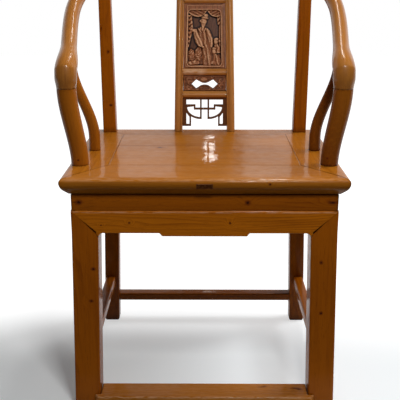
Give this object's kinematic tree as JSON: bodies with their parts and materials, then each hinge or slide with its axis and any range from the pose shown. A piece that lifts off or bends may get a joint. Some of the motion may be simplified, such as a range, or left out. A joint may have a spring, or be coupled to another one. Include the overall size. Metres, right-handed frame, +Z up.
{
  "type": "armchair",
  "caption": "Wooden horseshoe-back armchair with a sweeping arm and crest rail, carved and pierced splat, framed panel seat, waisted aprons and low stretchers.",
  "frame": {"origin": "under the middle of the chair's box, at floor level", "axes": "+Z up, -Y towards the front of the seat, +X to the sitter's left, the viewer's right"},
  "size_m": [0.612, 0.5802, 0.9734],
  "materials": {
    "seat_wood": "gloss lacquer over honey-brown timber",
    "leg_wood": "gloss lacquer over amber-brown timber",
    "rail_wood": "gloss lacquer over light amber timber",
    "carved_wood": "satin lacquer over red-brown carved timber",
    "plate_metal": "dark aged plate"
  },
  "bodies": {
    "root": {"seat_frame_front": "seat_wood", "seat_frame_back": "seat_wood", "seat_frame_left": "seat_wood", "seat_frame_right": "seat_wood", "seat_board_front": "seat_wood", "seat_board_back": "seat_wood", "seat_batten_left": "leg_wood", "seat_batten_right": "leg_wood", "waist_front": "leg_wood", "waist_back": "leg_wood", "waist_left": "leg_wood", "waist_right": "leg_wood", "apron_front": "leg_wood", "apron_back": "leg_wood", "apron_left": "leg_wood", "apron_right": "leg_wood", "front_leg_left": "leg_wood", "front_leg_right": "leg_wood", "back_leg_left": "leg_wood", "back_leg_right": "leg_wood", "footrest": "leg_wood", "side_stretcher_left": "leg_wood", "side_stretcher_right": "leg_wood", "back_stretcher": "leg_wood", "arm_rail_left": "rail_wood", "arm_rail_right": "rail_wood", "crest_rail": "rail_wood", "scarf_pin_left": "rail_wood", "scarf_pin_right": "rail_wood", "front_arm_post_left": "rail_wood", "front_arm_post_right": "rail_wood", "side_arm_post_left": "rail_wood", "side_arm_post_right": "rail_wood", "splat_stile_left": "rail_wood", "splat_stile_right": "rail_wood", "splat_rail_lower": "rail_wood", "splat_rail_middle": "rail_wood", "splat_rail_upper": "rail_wood", "splat_fret": "carved_wood", "splat_panel_pierced": "carved_wood", "splat_panel_carved": "carved_wood", "splat_panel_upper": "carved_wood", "edge_plate": "plate_metal"}
  },
  "joints": []
}
